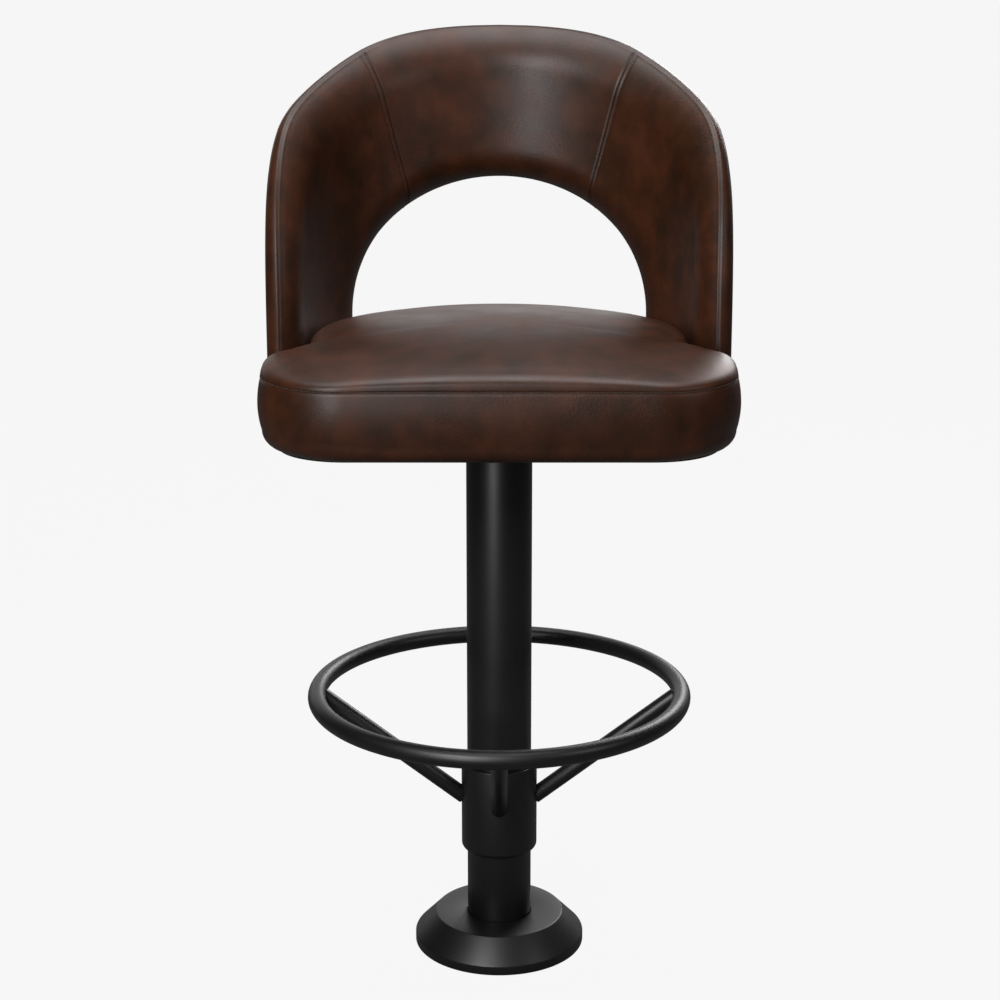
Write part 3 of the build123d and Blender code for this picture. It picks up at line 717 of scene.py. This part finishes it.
# Back. A moulded plywood shell between two layers of foam, with one leather panel outside.
# The lining is three panels, lapped and top stitched, and it is sewn to the outside along the padded edges.
BACK_IN_R = 0.221
BACK_OUT_R = 0.261
BACK_MID_R = (BACK_IN_R + BACK_OUT_R) / 2
BACK_TILT = math.radians(5)
PIVOT_Z = 0.735
BACK_TOP = 1.0815
LEG_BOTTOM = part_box("outside_back")[0].z
OUTER_ROLL = 0.018
WELT_R = 0.247
RIM_LEAN = math.radians(62)
OPENING_LEAN = math.radians(70)
OPENING_PROUD = 0.003
SHOULDER_DROP = 0.006
SHOULDER_START = 0.6
OPENING_HALF_W = 0.179
OPENING_TOP = 0.899
SIDE_PROFILE = ((-0.044, LEG_BOTTOM), (-0.031, 0.923), (0.266, BACK_TOP), (0.522, BACK_TOP))
PROFILE_BENDS = (0.290, 0.225)
PROFILE_STEPS = 40
ARCH_STEPS = 60
PANEL_SEAM = (0.112, 0.900, 0.25)
SEAM_STEPS = 1000
LEG_SECTIONS = 66
CREST_SECTIONS = 30
STITCH_OFFSET = -0.0046
LAP_OFFSETS = (-0.0080, -0.0056, STITCH_OFFSET, -0.0036, -0.0020, -0.0010, 0.0, 0.0010, 0.0026)
LAP_DEPTHS = (0.0, 0.0, 0.0006, 0.0, -0.0004, -0.0002, 0.0014, 0.0, 0.0)
FOOT_ROWS = ((0.0070, 0.0060), (0.0022, 0.0045), (0.0005, 0.0020))
FACE_STEPS = 26
PAD_STOPS = (0, 0.12, 0.24, 0.36, 0.48, 0.6, 0.7, 0.8, 0.88, 0.94, 0.975)
STRIP_STOPS = (0.06, 0.15, 0.3, 0.45, 0.6, 0.75, 0.88, 1)
WELT_DEPTH = 0.0012
LIP_RISE = 0.0005
BACK_RISE = 0.0025
BACK_THREAD_R = 0.0004
tilt_cos, tilt_sin = math.cos(BACK_TILT), math.sin(BACK_TILT)
profile = rounded_path(SIDE_PROFILE, PROFILE_BENDS, PROFILE_STEPS)


def at_length(path, length):
    for a, b in zip(path, path[1:]):
        step = (b - a).length
        if length <= step:
            return a + (b - a) * (length / step)
        length -= step
    return path[-1]


def depth_along(point):
    return point.x * tilt_cos - (point.y - PIVOT_Z) * tilt_sin


def crest_length(radius):
    walked = 0.0
    for a, b in zip(profile, profile[1:]):
        near, far = depth_along(a), depth_along(b)
        if far > radius > near:
            return walked + (b - a).length * (radius - near) / (far - near)
        walked += (b - a).length
    return walked


def outer_edge(share, radius, crest):
    point = at_length(profile, share * crest)
    depth = min(depth_along(point), radius)
    return Vector((math.acos(depth / radius), point.x * tilt_sin + (point.y - PIVOT_Z) * tilt_cos))


arch = [Vector((math.asin(OPENING_HALF_W / BACK_MID_R), LEG_BOTTOM))]
for arch_step in range(ARCH_STEPS + 1):
    arch_turn = math.pi / 2 * arch_step / ARCH_STEPS
    arch.append(Vector((math.asin(OPENING_HALF_W / BACK_MID_R * math.cos(arch_turn)),
                        PIVOT_Z + (OPENING_TOP - PIVOT_Z) * math.sin(arch_turn))))
arch_lengths = [0.0]
for a, b in zip(arch, arch[1:]):
    arch_lengths.append(arch_lengths[-1] + math.hypot((b.x - a.x) * BACK_MID_R, b.y - a.y))


def inner_edge(share, radius):
    length = share * arch_lengths[-1]
    index = max(i for i, walked in enumerate(arch_lengths[:-1]) if walked <= length)
    part = (length - arch_lengths[index]) / (arch_lengths[index + 1] - arch_lengths[index])
    across, height = arch[index].lerp(arch[index + 1], min(part, 1.0))
    rise = (height - PIVOT_Z) * tilt_sin
    spread = math.tan(across) ** 2 + tilt_cos ** 2
    inner = math.sqrt(max((tilt_cos * rise) ** 2 - spread * (rise ** 2 - radius ** 2), 0))
    y = (tilt_cos * rise + inner) / spread
    x = y * math.tan(across)
    return Vector((math.atan2(x, y * tilt_cos - rise), y * tilt_sin + (height - PIVOT_Z) * tilt_cos))


def wall_point(turn, along, radius):
    depth = radius * math.cos(turn)
    return Vector((radius * math.sin(turn), depth * tilt_cos + along * tilt_sin,
                   PIVOT_Z + along * tilt_cos - depth * tilt_sin))


def seam_share(edge):
    x, z, lean = PANEL_SEAM
    for i in range(1, SEAM_STEPS):
        point = wall_point(*edge(i / SEAM_STEPS), BACK_IN_R)
        if point.z > PIVOT_Z and point.x < x + lean * (point.z - z):
            return i / SEAM_STEPS
    return 1.0


crest_in = crest_length(BACK_IN_R)
inner_seam = seam_share(lambda share: inner_edge(share, BACK_IN_R))
outer_seam = seam_share(lambda share: outer_edge(share, BACK_IN_R, crest_in))


def section_shares():
    foot = FOOT_ROWS[0][1]
    inner_start, outer_start = foot / arch_lengths[-1], foot / crest_in
    near_lap, past_lap = LAP_OFFSETS[0], LAP_OFFSETS[-1]
    shares = []
    for i in range(LEG_SECTIONS):
        part = i / LEG_SECTIONS
        shares.append((inner_start + (inner_seam + near_lap / arch_lengths[-1] - inner_start) * part,
                       outer_start + (outer_seam + near_lap / crest_in - outer_start) * part))
    shares += [(inner_seam + offset / arch_lengths[-1], outer_seam + offset / crest_in)
               for offset in LAP_OFFSETS]
    inner_past, outer_past = inner_seam + past_lap / arch_lengths[-1], outer_seam + past_lap / crest_in
    for i in range(1, CREST_SECTIONS + 1):
        part = i / CREST_SECTIONS
        shares.append((inner_past + (1 - inner_past) * part, outer_past + (1 - outer_past) * part))
    return shares


def rim_stops(lean):
    pad_r = (WELT_R - BACK_IN_R) / (1 - math.cos(lean))
    stops = []
    for share in PAD_STOPS + (1,):
        turn = lean * share
        stops.append((BACK_IN_R + pad_r * (1 - math.cos(turn)), pad_r * (math.sin(lean) - math.sin(turn))))
    for share in STRIP_STOPS:
        turn = math.pi / 2 * share
        stops.append((WELT_R + (BACK_OUT_R - WELT_R) * math.sin(turn), OUTER_ROLL * (1 - math.cos(turn))))
    return stops


rim, opening = rim_stops(RIM_LEAN), rim_stops(OPENING_LEAN)


def back_loop(inner_share, outer_share):
    drop = SHOULDER_DROP * math.sin(math.pi * max(0, outer_share - SHOULDER_START) / (1 - SHOULDER_START))
    opening_pad, rim_pad = opening[0][1] - OPENING_PROUD, rim[0][1] + drop
    stops = [(BACK_IN_R, opening_pad, rim_pad, i / FACE_STEPS) for i in range(1, FACE_STEPS)]
    stops += [(radius, 0, inset + drop, 1) for radius, inset in rim]
    stops += [(BACK_OUT_R, OUTER_ROLL - OPENING_PROUD, OUTER_ROLL + drop, i / FACE_STEPS)
              for i in range(FACE_STEPS - 1, 0, -1)]
    stops += [(radius, inset - OPENING_PROUD, 0, 0) for radius, inset in reversed(opening)]
    loop = []
    for radius, from_inner, from_outer, across in stops:
        near = inner_edge(inner_share, radius)
        far = outer_edge(outer_share, radius, crest_length(radius))
        length = math.hypot((far.x - near.x) * radius, far.y - near.y)
        share = from_inner / length + across * (1 - (from_inner + from_outer) / length)
        loop.append(wall_point(*near.lerp(far, share), radius))
    return loop


right_half = [back_loop(inner, outer) for inner, outer in section_shares()]
foot_loop = right_half[0]
foot_middle = sum(foot_loop, Vector()) / len(foot_loop)
foot_rows = []
for inset, drop in FOOT_ROWS:
    foot_rows.append([point + (foot_middle - point).normalized() * inset - Vector((0, 0, drop))
                      for point in foot_loop])
right_half = foot_rows + right_half
left_half = [[Vector((-p.x, p.y, p.z)) for p in loop] for loop in reversed(right_half[:-1])]
back_rows = right_half + left_half
back_count = len(back_rows[0])
back_points, back_faces = stitched_rows(back_rows, True)
back_cushion = new_piece("back_cushion", back_points, [], back_faces)
face_outwards(back_cushion)
rim_welt = FACE_STEPS - 1 + len(PAD_STOPS)
opening_welt = 2 * (FACE_STEPS - 1) + len(rim) + len(STRIP_STOPS)
welt_places = [row * back_count + column for row in range(len(back_rows))
               for column in (rim_welt, opening_welt)]
lip_places = [row * back_count + column for row in range(len(back_rows))
              for column in (rim_welt - 1, opening_welt + 1)]
lining_columns = list(range(opening_welt + 1, back_count)) + list(range(rim_welt))
lap_start = len(FOOT_ROWS) + LEG_SECTIONS
dents = {}
for offset, depth in enumerate(LAP_DEPTHS):
    for row in (lap_start + offset, len(back_rows) - 1 - lap_start - offset):
        dents.update({row * back_count + column: depth for column in lining_columns if depth})
dents.update({place: WELT_DEPTH for place in welt_places})
dents.update({place: -LIP_RISE for place in lip_places})
feet = [row * back_count + i for end in range(len(FOOT_ROWS)) for row in (end, len(back_rows) - 1 - end)
        for i in range(back_count)]
swell(back_cushion, list(dents) + feet, BACK_RISE)
press(back_cushion, dents)
bpy.ops.object.shade_smooth()
fit(back_cushion, brown_hide, "seat", "brown_leather", "back_inner_foam", "back_outer_foam", "outside_back",
    "back_lining_centre", "back_lining_left", "back_lining_right")
top_stitch = lap_start + LAP_OFFSETS.index(STITCH_OFFSET)
for side, row in (("right", top_stitch), ("left", len(back_rows) - 1 - top_stitch)):
    lap_path = [back_cushion.data.vertices[row * back_count + column].co.copy() for column in lining_columns]
    stitches("back_stitches_" + side, lap_path, BACK_THREAD_R)

# Stage. A plain floor that the camera sees as white, with a faint shadow, and a bright backdrop behind.
# Glossy rays see the backdrop and a small share of the floor's white, so that the dark finishes stay dark.
# Five soft lamps light the stool, and the camera stands at the photograph's height.
FLOOR_HALF = 60.0
FLOOR_WHITE = 0.92
FLOOR_IN_GLOSS = 0.05
bpy.ops.object.select_all(action="DESELECT")
bpy.ops.mesh.primitive_plane_add(size=2 * FLOOR_HALF, location=(0, 0, 0))
floor = bpy.context.active_object
floor.name = "studio_floor"
floor_paint = blank_material("pale_studio_floor")
ray = add_node(floor_paint, "ShaderNodeLightPath")
shown = add_node(floor_paint, "ShaderNodeMath", {
    0: ray.outputs["Is Glossy Ray"], 1: FLOOR_IN_GLOSS}, operation="MULTIPLY")
through = add_node(floor_paint, "ShaderNodeMath", {
    0: ray.outputs["Is Camera Ray"], 1: ray.outputs["Is Transmission Ray"]}, operation="MAXIMUM")
seen = add_node(floor_paint, "ShaderNodeMath", {
    0: through.outputs["Value"], 1: FLOOR_WHITE, 2: shown.outputs["Value"]}, operation="MULTIPLY_ADD")
matt = add_node(floor_paint, "ShaderNodeBsdfDiffuse", {"Color": srgb("#585858")})
white = add_node(floor_paint, "ShaderNodeEmission", {"Color": (1, 1, 1, 1), "Strength": 1.0})
blend = add_node(floor_paint, "ShaderNodeMixShader", {
    0: seen.outputs["Value"], 1: matt.outputs["BSDF"], 2: white.outputs["Emission"]})
add_node(floor_paint, "ShaderNodeOutputMaterial", {"Surface": blend.outputs["Shader"]})
floor.data.materials.append(floor_paint)

LAMP_AIM = Vector((0, 0, 0.7))
LAMPS = {
    "key_softbox": ((-1.1, -2.3, 2.5), 1.2, 72),
    "top_softbox": ((0.0, 0.25, 2.8), 1.6, 46),
    "fill_softbox": ((2.0, -1.4, 2.0), 1.0, 10),
    "low_softbox": ((-0.95, -2.5, 1.0), 0.8, 22),
    "rear_softbox": ((1.2, 2.6, 2.0), 1.2, 40),
}
for lamp_name, (lamp_place, lamp_size, lamp_power) in LAMPS.items():
    lamp_data = bpy.data.lights.new(lamp_name, "AREA")
    lamp_data.size = lamp_size
    lamp_data.energy = lamp_power
    lamp = bpy.data.objects.new(lamp_name, lamp_data)
    lamp.location = lamp_place
    lamp.rotation_euler = (LAMP_AIM - lamp.location).to_track_quat("-Z", "Y").to_euler()
    bpy.context.scene.collection.objects.link(lamp)

AMBIENT = 0.05
BACKDROP = 0.9
BACKDROP_EDGE = 0.6
BACKDROP_FULL = 0.95
studio = bpy.data.worlds.new("studio")
studio.use_nodes = True
studio.node_tree.nodes.clear()
sky_ray = add_node(studio, "ShaderNodeLightPath")
facing = add_node(studio, "ShaderNodeSeparateXYZ", {
    "Vector": add_node(studio, "ShaderNodeTexCoord").outputs["Generated"]})
backdrop = add_node(studio, "ShaderNodeMapRange", {
    "Value": facing.outputs["Y"], "From Min": BACKDROP_EDGE, "From Max": BACKDROP_FULL,
    "To Min": AMBIENT, "To Max": BACKDROP})
clear = add_node(studio, "ShaderNodeMath", {
    0: sky_ray.outputs["Is Camera Ray"], 1: sky_ray.outputs["Is Transmission Ray"]}, operation="MAXIMUM")
sky = add_node(studio, "ShaderNodeMath", {
    0: clear.outputs["Value"], 1: backdrop.outputs["Result"]}, operation="MAXIMUM")
air = add_node(studio, "ShaderNodeBackground", {"Color": (1, 1, 1, 1), "Strength": sky.outputs["Value"]})
add_node(studio, "ShaderNodeOutputWorld", {"Surface": air.outputs["Background"]})
bpy.context.scene.world = studio
bpy.context.scene.view_settings.view_transform = "Standard"

CAMERA_PLACE = (0.0, -2.308, 1.163)
CAMERA_PITCH = math.radians(14.84)
CAMERA_LENS = 74.45
CAMERA_SENSOR = 36.0
CAMERA_SHIFT = 0.0008
camera_data = bpy.data.cameras.new("studio_camera")
camera_data.lens = CAMERA_LENS
camera_data.sensor_width = CAMERA_SENSOR
camera_data.shift_x = CAMERA_SHIFT
camera = bpy.data.objects.new("studio_camera", camera_data)
camera.location = CAMERA_PLACE
camera.rotation_euler = (math.pi / 2 - CAMERA_PITCH, 0, 0)
bpy.context.scene.collection.objects.link(camera)
bpy.context.scene.camera = camera
